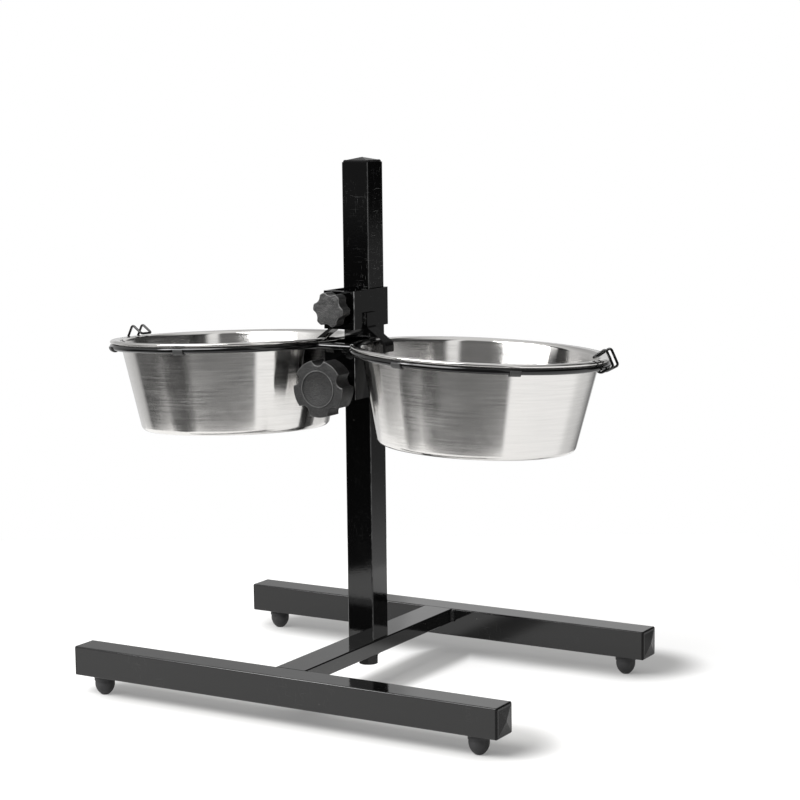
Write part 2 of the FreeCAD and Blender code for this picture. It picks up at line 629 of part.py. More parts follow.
def strap():
    """Return the right hold-down strap: down the collar's side, out over the rim, into the bowl."""
    edges_y = (STRAP_CENTRE_Y - STRAP_WIDTH / 2, STRAP_CENTRE_Y + STRAP_WIDTH / 2)
    wall_top = RIM_BEAD_CENTRE - RIM_FLAT - RIM_ROUND * math.cos(WALL_SLOPE)
    wall_depth = RIM_ROUND * (1 - math.sin(WALL_SLOPE))
    wall_radius = wall_top - (STRAP_HOOK - wall_depth) * math.tan(WALL_SLOPE)
    wall_x = [
        bowl_frame().multVec(
            Vec(-math.sqrt(wall_radius ** 2 - (y - BOWL_AXIS_Y) ** 2), y - BOWL_AXIS_Y, -STRAP_HOOK)
        ).x
        for y in edges_y
    ]
    rim_top = bowl_frame().multVec(Vec(-RIM_RADIUS, 0, 0)).z
    half = STRAP_THICKNESS / 2
    hook_x = max(wall_x) + STRAP_WALL_GAP + half
    points = [
        Vec(SLEEVE_SIDE + half, edges_y[0], HOLD_BOTTOM + STRAP_ON_COLLAR),
        Vec(SLEEVE_SIDE + half, edges_y[0], HOLD_BOTTOM),
        Vec(hook_x, edges_y[0], rim_top - STRAP_BEND_DROP),
        Vec(hook_x, edges_y[0], rim_top - STRAP_HOOK),
    ]
    corners = [points[0] + Vec(-half, 0, 0), points[0] + Vec(half, 0, 0)]
    corners += [corner + Vec(0, STRAP_WIDTH, 0) for corner in reversed(corners)]
    section = Part.makePolygon(corners + corners[:1])
    return swept(rounded_path(points, STRAP_BEND), section)


def holddown_welds():
    """Return the beads along both upright edges of each strap on the collar."""
    low = HOLD_BOTTOM + STRAP_BEND
    height = STRAP_ON_COLLAR - STRAP_BEND
    front = Vec(SLEEVE_SIDE, STRAP_CENTRE_Y - STRAP_WIDTH / 2, low)
    back = Vec(SLEEVE_SIDE, STRAP_CENTRE_Y + STRAP_WIDTH / 2, low)
    places = ((front, 270), (back, 0))
    right = [quarter_bead(STRAP_WELD_RADIUS, height, corner, start) for corner, start in places]
    return Part.makeCompound(right + [mirrored(bead) for bead in right])


def base_nodes():
    """Return the nodes of the base by name."""
    nodes = {
        "crossbar": crossbar(), "base_welds": base_welds(), "post": post(), "post_cap": post_cap(),
        "post_insert": post_insert(), "post_bolt": post_bolt(), "post_washer": post_washer(),
        "post_lock_washer": post_lock_washer(),
    }
    for end, y in (("front", -BAR_SPACING / 2), ("rear", BAR_SPACING / 2)):
        foot_x = BAR_LENGTH / 2 - FOOT_END_INSET
        nodes[end + "_foot_bar"] = moved(foot_bar(), 0, y, 0)
        nodes[end + "_right_cap"] = moved(end_cap(), 0, y, 0)
        nodes[end + "_left_cap"] = moved(mirrored(end_cap()), 0, y, 0)
        nodes[end + "_right_foot"] = moved(foot(), foot_x, y, 0)
        nodes[end + "_left_foot"] = moved(foot(), -foot_x, y, 0)
    return nodes


def carrier_nodes():
    """Return the nodes of the carrier, its clamp, its bails and its bowls by name."""
    body = sleeve(CARRIER_BOTTOM, CARRIER_HEIGHT, LARGE_STUD_RADIUS, LARGE_KNOB_Z)
    rings = (ring(), mirrored(ring()))
    rod = front_rod(rings)
    return {
        "carrier_sleeve": body, "right_ring": rings[0], "left_ring": rings[1], "front_rod": rod,
        "carrier_welds": carrier_welds(body, rod, rings),
        "right_ring_clips": ring_clips(), "left_ring_clips": mirrored(ring_clips()),
        "carrier_nut": weld_nut(LARGE_STUD_RADIUS, LARGE_KNOB_Z),
        "large_knob": large_knob(), "large_knob_stud": stud(LARGE_STUD_RADIUS, LARGE_KNOB_Z),
        "large_knob_pad": pressure_pad(LARGE_STUD_RADIUS, LARGE_KNOB_Z, LARGE_PAD_HEIGHT),
        "right_bail": bail(RIGHT_BAIL_ANGLE_DEG), "left_bail": mirrored(bail(LEFT_BAIL_ANGLE_DEG)),
        "right_bowl": bowl(), "left_bowl": mirrored(bowl()),
    }


def holddown_nodes():
    """Return the nodes of the hold-down and its clamp by name."""
    return {
        "holddown_collar": sleeve(HOLD_BOTTOM, HOLD_HEIGHT, SMALL_STUD_RADIUS, SMALL_KNOB_Z),
        "right_strap": strap(), "left_strap": mirrored(strap()), "holddown_welds": holddown_welds(),
        "holddown_nut": weld_nut(SMALL_STUD_RADIUS, SMALL_KNOB_Z),
        "small_knob": small_knob(), "small_knob_stud": stud(SMALL_STUD_RADIUS, SMALL_KNOB_Z),
        "small_knob_pad": pressure_pad(SMALL_STUD_RADIUS, SMALL_KNOB_Z, SMALL_PAD_HEIGHT),
    }


def main():
    """Write every node as a STEP file."""
    os.makedirs("parts", exist_ok=True)
    for nodes in (base_nodes(), carrier_nodes(), holddown_nodes()):
        for name, shape in nodes.items():
            if not shape.isValid():
                raise ValueError(name + " is not a valid shape")
            shape.exportStep("parts/" + name + ".step")


main()
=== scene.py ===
"""Looks of an elevated feeder: a clamped carrier holds two steel bowls on a square post.

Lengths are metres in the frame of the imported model: the floor is Z 0, +X runs along the foot bars
to the right, and +Y is the rear.
"""

from __future__ import annotations

import json
import logging
import math
from dataclasses import dataclass
from enum import Enum
from functools import cache

import bmesh
import bpy
from mathutils import Matrix, Vector


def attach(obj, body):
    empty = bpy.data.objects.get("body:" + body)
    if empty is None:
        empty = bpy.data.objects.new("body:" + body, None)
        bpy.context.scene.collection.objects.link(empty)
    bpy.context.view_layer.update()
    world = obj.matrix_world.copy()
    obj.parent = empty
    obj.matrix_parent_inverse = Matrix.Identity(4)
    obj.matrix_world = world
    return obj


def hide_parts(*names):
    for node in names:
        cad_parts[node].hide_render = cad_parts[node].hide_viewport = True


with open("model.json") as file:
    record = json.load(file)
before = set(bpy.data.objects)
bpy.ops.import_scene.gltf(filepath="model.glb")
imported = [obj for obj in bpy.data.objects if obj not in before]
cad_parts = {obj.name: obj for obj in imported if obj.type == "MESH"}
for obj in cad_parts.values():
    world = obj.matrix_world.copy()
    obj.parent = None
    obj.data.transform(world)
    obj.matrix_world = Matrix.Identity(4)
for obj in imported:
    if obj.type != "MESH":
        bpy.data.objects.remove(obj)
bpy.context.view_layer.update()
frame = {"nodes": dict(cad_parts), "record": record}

LOG = logging.getLogger("feeder")
Colour = tuple[float, float, float]
Rgba = tuple[float, float, float, float]
Triple = tuple[float, float, float]
Tones = tuple[tuple[float, float], ...]
Socket = bpy.types.NodeSocket
NODE_BODY: dict[str, str] = {
    node: body for body, nodes in frame["record"]["behaviour"]["bodies"].items() for node in nodes
}
FULL_TURN = 2 * math.pi
WELD_DISTANCE = 1e-6
CAP_CREASE_DEG = 6.0


class Side(Enum):
    """The two halves of the feeder, with the sign of X on each."""

    LEFT = -1
    RIGHT = 1

    @property
    def word(self) -> str:
        """The side's name as the nodes spell it."""
        return self.name.lower()


class Shading(Enum):
    """How a piece's normals are kept."""

    ROUND = "round"
    FLAT_FACED = "flat_faced"


def tinted(colour: Colour, factor: float = 1.0) -> Rgba:
    """Returns an opaque colour, made darker or lighter by a factor."""
    return (*(min(1.0, part * factor) for part in colour), 1.0)


def grey(level: float) -> Rgba:
    """Returns an opaque grey."""
    return (level, level, level, 1.0)


class Tree:
    """A node tree with short ways to place nodes and link them."""

    def __init__(self, tree: bpy.types.NodeTree) -> None:
        """Keeps the tree that the nodes go into."""
        self.tree = tree

    @classmethod
    def emptied(cls, owner: bpy.types.Material | bpy.types.World) -> Tree:
        """Returns the tree of a new material or world, with its first nodes cleared."""
        owner.use_nodes = True
        owner.node_tree.nodes.clear()
        return cls(owner.node_tree)

    def feed(self, node: bpy.types.Node, inputs: dict) -> None:
        """Gives a node its inputs.

        Args:
            node: The node.
            inputs: Input name or index to a socket, which is linked, or to a plain value.
        """
        for key, value in inputs.items():
            if isinstance(value, Socket):
                self.tree.links.new(value, node.inputs[key])
            else:
                node.inputs[key].default_value = value

    def put(self, kind: str, inputs: dict | None = None, **settings: object) -> bpy.types.Node:
        """Places a node, with its settings and its inputs.

        Args:
            kind: The node's type name.
            inputs: What the node is fed.
            settings: The node's own properties.

        Returns:
            The new node.
        """
        node = self.tree.nodes.new(kind)
        for key, value in settings.items():
            setattr(node, key, value)
        self.feed(node, inputs or {})
        return node

    def math(self, operation: str, first: object, second: object = 0.0) -> Socket:
        """Returns the result of one math operation, not clamped."""
        return self.put("ShaderNodeMath", {0: first, 1: second}, operation=operation).outputs[0]

    def times(self, first: object, second: object) -> Socket:
        """Returns the product of two values."""
        return self.math("MULTIPLY", first, second)

    def blend(self, first: Socket, second: Socket, share: float) -> Socket:
        """Returns two values added up, the second by its share and the first by the rest."""
        return self.math("ADD", self.times(first, 1.0 - share), self.times(second, share))

    def span(
        self, value: object, low: float, high: float, to_low: object = 0.0, to_high: object = 1.0
    ) -> Socket:
        """Returns a value moved smoothly from one range to another.

        Args:
            value: The value to move.
            low: Where the incoming range starts.
            high: Where it ends.
            to_low: What the start becomes.
            to_high: What the end becomes.

        Returns:
            The moved value, kept inside its range.
        """
        inputs = {0: value, 1: low, 2: high, 3: to_low, 4: to_high}
        return self.put("ShaderNodeMapRange", inputs, interpolation_type="SMOOTHSTEP").outputs[0]

    def mix(self, share: object, first: object, second: object, blend: str = "MIX") -> Socket:
        """Returns two colours mixed by a share."""
        inputs = {0: share, 6: first, 7: second}
        return self.put("ShaderNodeMix", inputs, data_type="RGBA", blend_type=blend).outputs[2]

    def noise(self, vector: Socket, scale: object, detail: float = 2.0, rough: float = 0.5) -> Socket:
        """Returns a noise value around 0.5."""
        inputs = {"Vector": vector, "Scale": scale, "Detail": detail, "Roughness": rough}
        return self.put("ShaderNodeTexNoise", inputs).outputs[0]

    def mapped(self, vector: Socket, kind: str = "POINT", **inputs: Triple) -> Socket:
        """Returns a vector moved, turned or stretched by the named inputs."""
        return self.put("ShaderNodeMapping", {"Vector": vector, **inputs}, vector_type=kind).outputs[0]

    def scaled_noise(self, vector: Socket, scale: Triple, detail: float = 1.0, rough: float = 0.5) -> Socket:
        """Returns a noise value with its own scale along each axis."""
        return self.noise(self.mapped(vector, Scale=scale), 1.0, detail, rough)

    def vector_math(self, operation: str, *vectors: object) -> bpy.types.Node:
        """Places one operation on vectors."""
        return self.put("ShaderNodeVectorMath", dict(enumerate(vectors)), operation=operation)

    def length(self, vector: Socket) -> Socket:
        """Returns a vector's length."""
        return self.vector_math("LENGTH", vector).outputs["Value"]

    def parts(self, vector: Socket) -> tuple[Socket, Socket, Socket]:
        """Returns a vector's three coordinates."""
        return tuple(self.put("ShaderNodeSeparateXYZ", {0: vector}).outputs)

    def joined(self, x: object, y: object, z: object = 0.0) -> Socket:
        """Returns a vector from its coordinates."""
        return self.put("ShaderNodeCombineXYZ", {0: x, 1: y, 2: z}).outputs[0]

    def facing(self) -> Socket:
        """Returns the direction that the surface faces."""
        return self.put("ShaderNodeNewGeometry").outputs["Normal"]

    def dented(self, height: Socket, depth: float) -> Socket:
        """Returns the surface's normal, bent by a height pattern of the given depth."""
        return self.put("ShaderNodeBump", {"Strength": 1.0, "Distance": depth, "Height": height}).outputs[0]

    def grouped(self, group: bpy.types.NodeTree, **inputs: object) -> bpy.types.Node:
        """Places a node group with its own inputs."""
        return self.put("ShaderNodeGroup", inputs, node_tree=group)


class Effects:
    """Surface effects that several finishes share, each a node group built once.

    Scales are in repeats per metre.
    """

    FINE_GRAIN_RATIO = 2.7
    FINE_GRAIN_SHARE = 0.35
    SPECK_SCALE = 230.0
    SPECK_PATCH_SCALE = 14.0
    FILM_CLOUD_SCALE = 55.0
    SCUFF_WANDER_SCALE = 9.0
    SCUFF_WANDER: Triple = (0.02, 0.02, 0.02)
    SCUFF_ALONG: Triple = (2600.0, 2600.0, 42.0)
    SCUFF_ACROSS: Triple = (60.0, 60.0, 2100.0)
    SCUFF_PATCH_SCALE = 21.0
    LINE_SCALE = 3600.0
    LINE_BREAK_SCALE = 22.0
    LINE_HEIGHT_WEIGHT = 1.3
    LINE_BAND: Triple = (0.8, 0.8, 0.16)
    LINE_BAND_SHARE = 0.55

    @staticmethod
    def start(
        name: str, values: tuple[str, ...], outputs: tuple[str, ...]
    ) -> tuple[Tree, dict[str, Socket], bpy.types.Node]:
        """Starts a group that takes a vector and named values.

        Args:
            name: The group's name.
            values: Names of the value inputs.
            outputs: Names of the value outputs.

        Returns:
            The group's tree, its input sockets by name, and the node that its outputs are fed to.
        """
        group = bpy.data.node_groups.new(name, "ShaderNodeTree")
        group.interface.new_socket("Vector", in_out="INPUT", socket_type="NodeSocketVector")
        for key in values:
            group.interface.new_socket(key, in_out="INPUT", socket_type="NodeSocketFloat")
        for key in outputs:
            group.interface.new_socket(key, in_out="OUTPUT", socket_type="NodeSocketFloat")
        tree = Tree(group)
        entry = tree.put("NodeGroupInput")
        given = {key: entry.outputs[key] for key in ("Vector", *values)}
        return tree, given, tree.put("NodeGroupOutput")

    @classmethod
    @cache
    def grain(cls) -> bpy.types.NodeTree:
        """Returns the moulded or sprayed grain: a height from 0 to 1 at a given size."""
        tree, given, out = cls.start("surface_grain", ("Size",), ("Height",))
        scale = tree.math("DIVIDE", 1.0, given["Size"])
        coarse = tree.noise(given["Vector"], scale, 1.0)
        fine = tree.noise(given["Vector"], tree.times(scale, cls.FINE_GRAIN_RATIO), 1.0)
        height = tree.blend(coarse, fine, cls.FINE_GRAIN_SHARE)
        tree.feed(out, {"Height": tree.span(height, 0.25, 0.75)})
        return tree.tree

    @classmethod
    @cache
    def drift(cls) -> bpy.types.NodeTree:
        """Returns a slow change over the surface, from 0 to 1, as handling and coating leave it."""
        tree, given, out = cls.start("tone_drift", ("Size",), ("Value",))
        value = tree.noise(given["Vector"], tree.math("DIVIDE", 1.0, given["Size"]), 3.0, 0.55)
        tree.feed(out, {"Value": tree.span(value, 0.3, 0.7)})
        return tree.tree

    @classmethod
    @cache
    def dust(cls) -> bpy.types.NodeTree:
        """Returns a mask of dust: loose specks, and a thin film on what faces up."""
        tree, given, out = cls.start("settled_dust", ("Specks", "Film"), ("Mask",))
        spot = given["Vector"]
        cells = tree.put("ShaderNodeTexVoronoi", {"Vector": spot, "Scale": cls.SPECK_SCALE})
        chosen = tree.put("ShaderNodeSeparateColor", {0: cells.outputs["Color"]}).outputs[0]
        patch = tree.span(tree.noise(spot, cls.SPECK_PATCH_SCALE), 0.45, 0.7)
        size = tree.times(tree.span(chosen, 0.86, 1.0, 0.0, 0.16), patch)
        speck = tree.math("LESS_THAN", cells.outputs["Distance"], size)
        up = tree.span(tree.parts(tree.facing())[2], 0.55, 1.0)
        cloud = tree.span(tree.noise(spot, cls.FILM_CLOUD_SCALE, 4.0, 0.65), 0.42, 0.75, 0.15, 1.0)
        film = tree.times(tree.times(up, cloud), given["Film"])
        total = tree.math("ADD", tree.times(speck, given["Specks"]), film)
        tree.feed(out, {"Mask": tree.math("MINIMUM", total, 1.0)})
        return tree.tree

    @classmethod
    @cache
    def scuffs(cls) -> bpy.types.NodeTree:
        """Returns a mask of fine scuffs, where something slid along the surface or across it."""
        tree, given, out = cls.start("sliding_scuffs", ("Amount", "Spread"), ("Mask",))
        spot = given["Vector"]
        noise = tree.put("ShaderNodeTexNoise", {"Vector": spot, "Scale": cls.SCUFF_WANDER_SCALE})
        wander = tree.mapped(noise.outputs["Color"], Scale=cls.SCUFF_WANDER)
        bent = tree.vector_math("ADD", spot, wander).outputs[0]
        along = tree.span(tree.scaled_noise(bent, cls.SCUFF_ALONG), 0.68, 0.74)
        across = tree.span(tree.scaled_noise(bent, cls.SCUFF_ACROSS), 0.70, 0.75)
        spread = tree.math("ADD", tree.noise(spot, cls.SCUFF_PATCH_SCALE), given["Spread"])
        lines = tree.times(tree.math("MAXIMUM", along, across), tree.span(spread, 0.5, 0.68))
        tree.feed(out, {"Mask": tree.times(lines, given["Amount"])})
        return tree.tree

    @classmethod
    @cache
    def turned_lines(cls) -> bpy.types.NodeTree:
        """Returns the fine lines of a spun and brushed sheet, round the local Z axis.

        The lines follow how far a point lies from the axis and how high, so they close on themselves.
        """
        tree, given, out = cls.start("turned_lines", (), ("Lines", "Height"))
        x, y, z = tree.parts(given["Vector"])
        reach = tree.length(tree.joined(x, y))
        rank = tree.math("SUBTRACT", reach, tree.times(z, cls.LINE_HEIGHT_WEIGHT))
        run_x, run_y = (tree.times(part, cls.LINE_BREAK_SCALE) for part in (x, y))
        fine = tree.joined(run_x, run_y, tree.times(rank, cls.LINE_SCALE))
        hair = tree.noise(fine, 1.0, 2.0, 0.6)
        band = tree.scaled_noise(fine, cls.LINE_BAND, 3.0, 0.65)
        lines = tree.blend(hair, band, cls.LINE_BAND_SHARE)
        tree.feed(out, {"Lines": tree.span(lines, 0.3, 0.7), "Height": hair})
        return tree.tree


@dataclass(frozen=True)
class Finish:
    """A surface finish, made as one node material on first use."""

    name: str

    def material(self) -> bpy.types.Material:
        """Returns the finish's material."""
        return bpy.data.materials.get(self.name) or self.make()

    def make(self) -> bpy.types.Material:
        """Makes the material; each kind of finish has its own way."""
        raise NotImplementedError

    def begin(self) -> tuple[bpy.types.Material, Tree, bpy.types.Node, Socket]:
        """Starts the material.

        Returns:
            The material, its tree, its shader and the object coordinates.
        """
        material = bpy.data.materials.new(self.name)
        tree = Tree.emptied(material)
        shader = tree.put("ShaderNodeBsdfPrincipled")
        tree.put("ShaderNodeOutputMaterial", {"Surface": shader.outputs[0]})
        return material, tree, shader, tree.put("ShaderNodeTexCoord").outputs["Object"]


@dataclass(frozen=True)
class Coating(Finish):
    """A sprayed or dipped gloss coat on steel, with orange peel, dust, scuffs and a painted highlight along
    its upright corners.
    """

    colour: Colour = (0.0009, 0.0009, 0.00095)
    roughness: float = 0.065
    peel_size: float = 0.0019
    peel_depth: float = 0.000006
    specks: float = 0.3
    film: float = 0.02
    scuffs: float = 0.25
    scuffs_from: float = -1.0
    ior: float = 1.5
    spread: float = 0.0
    # Strength of the painted highlight along upright corners.
    rubbed: float = 0.0
    drift_size: float = 0.045
    scuff_fade: float = 0.03
    scuff_tone: float = 0.13
    # Grey of the painted highlight along upright corners.
    rubbed_tone: float = 0.3
    worn_dullness: float = 0.45
    dust_colour: Colour = (0.34, 0.33, 0.31)

    def make(self) -> bpy.types.Material:
        """Makes the coat's material."""
        material, tree, shader, place = self.begin()
        drift = tree.grouped(Effects.drift(), Vector=place, Size=self.drift_size).outputs[0]
        peel = tree.grouped(Effects.grain(), Vector=place, Size=self.peel_size).outputs[0]
        dust = tree.grouped(Effects.dust(), Vector=place, Specks=self.specks, Film=self.film).outputs[0]
        scuff = self.scuffing(tree, place)
        scuffs_and_highlight = tree.mix(scuff, tinted(self.colour), grey(self.scuff_tone))
        # Painted highlight: the upright corners are lightened towards a pale grey, over the scuffs.
        scuffs_and_highlight = tree.mix(self.rubbing(tree, place), scuffs_and_highlight, grey(self.rubbed_tone))
        gloss = tree.span(drift, 0.0, 1.0, self.roughness * 0.8, self.roughness * 1.3)
        dull = tree.times(tree.math("MAXIMUM", scuff, dust), self.worn_dullness)
        tree.feed(shader, {
            "Base Color": tree.mix(dust, scuffs_and_highlight, tinted(self.dust_colour)),
            "Roughness": tree.math("ADD", gloss, dull),
            "Normal": tree.dented(peel, self.peel_depth),
            "IOR": self.ior,
        })
        return material

    def scuffing(self, tree: Tree, place: Socket) -> Socket:
        """Returns where something slid over the coat, mostly above the finish's own height.

        Args:
            tree: The material's tree.
            place: The object coordinates.

        Returns:
            A share from 0 to the finish's own amount.
        """
        low, high = self.scuffs_from - self.scuff_fade, self.scuffs_from + self.scuff_fade
        amount = tree.span(tree.parts(place)[2], low, high, 0.12 * self.scuffs, self.scuffs)
        return tree.grouped(Effects.scuffs(), Vector=place, Amount=amount, Spread=self.spread).outputs[0]

    def rubbing(self, tree: Tree, place: Socket) -> Socket:
        """Returns where a painted highlight runs along the upright corners of a square piece.

        Args:
            tree: The material's tree.
            place: The object coordinates.

        Returns:
            A share from 0 to the finish's own amount.
        """
        x, y, _ = tree.parts(tree.vector_math("ABSOLUTE", tree.facing()).outputs[0])
        corner = tree.span(tree.math("MINIMUM", x, y), 0.42, 0.62)
        broken = tree.span(tree.scaled_noise(place, (260.0, 260.0, 90.0), 3.0), 0.38, 0.6, 0.0, self.rubbed)
        return tree.times(corner, broken)


@dataclass(frozen=True)
class Moulded(Finish):
    """Moulded plastic or rubber with a sand-blasted grain and a little dust."""

    colour: Colour
    roughness: float = 0.5
    grain_size: float = 0.0006
    grain_depth: float = 0.00002
    sparkle: float = 0.15
    film: float = 0.0
    specular: float = 0.5
    specks: float = 0.25
    drift_size: float = 0.02
    dust_colour: Colour = (0.30, 0.29, 0.28)

    def make(self) -> bpy.types.Material:
        """Makes the plastic's material."""
        material, tree, shader, place = self.begin()
        grain = tree.grouped(Effects.grain(), Vector=place, Size=self.grain_size).outputs[0]
        drift = tree.grouped(Effects.drift(), Vector=place, Size=self.drift_size).outputs[0]
        dust = tree.grouped(Effects.dust(), Vector=place, Specks=self.specks, Film=self.film).outputs[0]
        colour = tree.mix(dust, self.sparkled(tree, grain), tinted(self.dust_colour))
        rough = tree.span(drift, 0.0, 1.0, self.roughness * 0.88, min(1.0, self.roughness * 1.12))
        self.dress(tree, shader, colour, rough, grain)
        return material

    def sparkled(self, tree: Tree, grain: Socket) -> Socket:
        """Returns the colour, darker in the grain's pits and lighter on its peaks."""
        low, high = (tinted(self.colour, 1.0 + change) for change in (-self.sparkle, self.sparkle))
        return tree.mix(grain, low, high)

    def dress(self, tree: Tree, shader: bpy.types.Node, colour: Socket, rough: Socket, grain: Socket) -> None:
        """Feeds the shader.

        Args:
            tree: The material's tree.
            shader: Its shader.
            colour: The surface's colour.
            rough: Its roughness.
            grain: The height of its grain.
        """
        tree.feed(shader, {
            "Base Color": colour,
            "Roughness": rough,
            "Normal": tree.dented(grain, self.grain_depth),
            "Specular IOR Level": self.specular,
        })


@dataclass(frozen=True)
class KnobPlastic(Moulded):
    """Sand-grained knob plastic, with painted shade on its sides and in a groove, a painted highlight on its
    edges and lip, and dust with a painted highlight in the middle of its face.
    """

    grain_size: float = 0.0012
    grain_depth: float = 0.00024
    sparkle: float = 0.85
    drift_size: float = 0.012
    dust_colour: Colour = (0.34, 0.33, 0.32)
    axis_height: float = 0.318
    lip_radius: float = 0.018
    lip_width: float = 0.0006
    # The pale middle of the face, dust and a painted highlight: its reach and its strength.
    dust_radius: float = 0.0085
    dust: float = 0.06
    scuffs: float = 0.3
    scuff_reach: float = 0.03
    # Painted shade in the groove, as a share of the colour.
    groove_tint: float = 0.1
    # Painted shade on the sides, as a share of the colour.
    side_tint: float = 0.3
    scuff_tint: float = 4.0
    # Painted highlight on the edges and the lip, as a multiple of the colour.
    edge_tint: float = 9.0

    def make(self) -> bpy.types.Material:
        """Makes the knob's material."""
        material, tree, shader, place = self.begin()
        grain = tree.grouped(Effects.grain(), Vector=place, Size=self.grain_size).outputs[0]
        drift = tree.grouped(Effects.drift(), Vector=place, Size=self.drift_size).outputs[0]
        spot = tree.mapped(place, Location=(0.0, 0.0, -self.axis_height))
        reach = tree.length(tree.mapped(spot, Scale=(1.0, 0.0, 1.0)))
        front = tree.times(tree.parts(tree.facing())[1], -1.0)

        scuffed = tree.mix(
            self.scuffing(tree, place, spot), self.sparkled(tree, grain), tinted(self.colour, self.scuff_tint)
        )
        # Painted shade: the sides, which face away from the front, are darker than the face.
        pale = tree.times(tree.span(front, 0.3, 0.9), tree.span(drift, 0.0, 1.0, 0.65, 1.0))
        scuffed_and_shaded = tree.mix(pale, tinted(self.colour, self.side_tint), scuffed)

        face = tree.span(front, 0.5, 0.9)
        # Painted shade: a dark ring just inside the lip, where the step would lie in shadow.
        groove_shade = tree.times(face, self.circle(tree, reach, self.lip_radius - self.lip_width * 2.0))
        scuffed_and_shaded = tree.mix(tree.times(groove_shade, 0.75), scuffed_and_shaded, tinted(self.colour, self.groove_tint))

        # Painted highlight: a pale line on the lip and along the rounded edge of the face.
        lip = tree.times(face, self.circle(tree, reach, self.lip_radius))
        edge = tree.times(tree.span(front, 0.15, 0.5), tree.span(front, 0.8, 0.97, 1.0, 0.0))
        rubbed = tree.times(tree.math("MAXIMUM", edge, lip), tree.span(drift, 0.0, 1.0, 0.5, 1.0))
        lit = tree.mix(tree.times(rubbed, 0.7), scuffed_and_shaded, tinted(self.colour, self.edge_tint))

        # Dust and a painted highlight: a pale cloud in the middle of the face.
        cloud = tree.span(tree.noise(place, 120.0, 4.0, 0.65), 0.35, 0.75)
        middle = tree.span(reach, self.dust_radius * 0.4, self.dust_radius * 1.6, 1.0, 0.0)
        dust_and_highlight = tree.times(tree.times(middle, cloud), tree.span(front, 0.6, 0.95, 0.0, self.dust))
        dusty = tree.mix(dust_and_highlight, lit, tinted(self.dust_colour))
        rough = tree.span(drift, 0.0, 1.0, self.roughness * 1.1, self.roughness * 0.85)
        self.dress(tree, shader, dusty, rough, grain)
        return material

    def circle(self, tree: Tree, reach: Socket, radius: float) -> Socket:
        """Returns a mask of a circle about the knob's axis, as wide as its lip.

        Args:
            tree: The material's tree.
            reach: How far a point lies from the axis.
            radius: The circle's radius.

        Returns:
            A share from 0 to 1.
        """
        off = tree.math("ABSOLUTE", tree.math("SUBTRACT", reach, radius))
        return tree.span(off, self.lip_width * 0.8, self.lip_width * 1.2, 1.0, 0.0)

    def scuffing(self, tree: Tree, place: Socket, spot: Socket) -> Socket:
        """Returns pale scuff strokes over the face, stronger towards its top.

        Args:
            tree: The material's tree.
            place: The object coordinates.
            spot: The same from the knob's axis.

        Returns:
            A share from 0 to the finish's own amount.
        """
        leant = tree.mapped(place, Rotation=(0.0, 0.5, 0.0), Scale=(110.0, 110.0, 330.0))
        strokes = tree.span(tree.noise(leant, 1.0, 4.0, 0.65), 0.42, 0.68)
        up = tree.parts(spot)[2]
        amount = tree.span(up, -self.scuff_reach, self.scuff_reach, 0.15 * self.scuffs, self.scuffs)
        return tree.times(strokes, amount)


@dataclass(frozen=True)
class Plated(Finish):
    """Zinc-plated steel, mottled by the bath."""

    colour: Colour = (0.56, 0.56, 0.58)
    roughness: float = 0.34
    mottle_size: float = 0.004
    mottle_tint: float = 0.72
    grain_size: float = 0.0006
    grain_depth: float = 0.00001

    def make(self) -> bpy.types.Material:
        """Makes the plating's material."""
        material, tree, shader, place = self.begin()
        mottle = tree.grouped(Effects.drift(), Vector=place, Size=self.mottle_size).outputs[0]
        grain = tree.grouped(Effects.grain(), Vector=place, Size=self.grain_size).outputs[0]
        tree.feed(shader, {
            "Base Color": tree.mix(mottle, tinted(self.colour, self.mottle_tint), tinted(self.colour)),
            "Roughness": tree.span(mottle, 0.0, 1.0, self.roughness * 1.3, self.roughness * 0.8),
            "Normal": tree.dented(grain, self.grain_depth),
            "Metallic": 1.0,
        })
        return material


@dataclass(frozen=True)
class SpunSteel(Finish):
    """Brushed stainless sheet, with lines round the bowl's own axis and a polished rim."""

    centre: Triple = (0.0, 0.0, 0.0)
    turn: Triple = (0.0, 0.0, 0.0)
    colour: Colour = (0.672, 0.66, 0.644)
    line_tint: float = 0.94
    line_depth: float = 0.000002
    roughness: float = 0.13
    rim_roughness: float = 0.10
    rim_depths: tuple[float, float] = (-0.006, -0.003)
    smear_size: float = 0.03
    stretch: float = 1.0
    stretch_turn: float = 0.25
    uv_name: str = "round_and_up"

    def make(self) -> bpy.types.Material:
        """Makes the steel's material."""
        material, tree, shader, place = self.begin()
        shifted = tree.mapped(place, "TEXTURE", Location=self.centre, Rotation=self.turn)
        brushed = tree.grouped(Effects.turned_lines(), Vector=shifted)
        lines = brushed.outputs["Lines"]
        smear = tree.grouped(Effects.drift(), Vector=shifted, Size=self.smear_size).outputs[0]
        streak = tree.span(lines, 0.0, 1.0, self.roughness * 1.4, self.roughness * 0.84)
        wall = tree.math("ADD", streak, tree.span(smear, 0.0, 1.0, -0.012, 0.02))
        rim = tree.span(tree.parts(shifted)[2], *self.rim_depths)
        tangent = tree.put("ShaderNodeTangent", direction_type="UV_MAP", uv_map=self.uv_name)
        tree.feed(shader, {
            "Base Color": tree.mix(lines, tinted(self.colour, self.line_tint), tinted(self.colour)),
            "Roughness": tree.put("ShaderNodeMix", {0: rim, 2: wall, 3: self.rim_roughness}).outputs[0],
            "Normal": tree.dented(brushed.outputs["Height"], self.line_depth),
            "Tangent": tangent.outputs[0],
            "Metallic": 1.0,
            "Anisotropic": self.stretch,
            "Anisotropic Rotation": self.stretch_turn,
        })
        return material


TUBE_COAT = Coating("gloss_black_tube_coat")
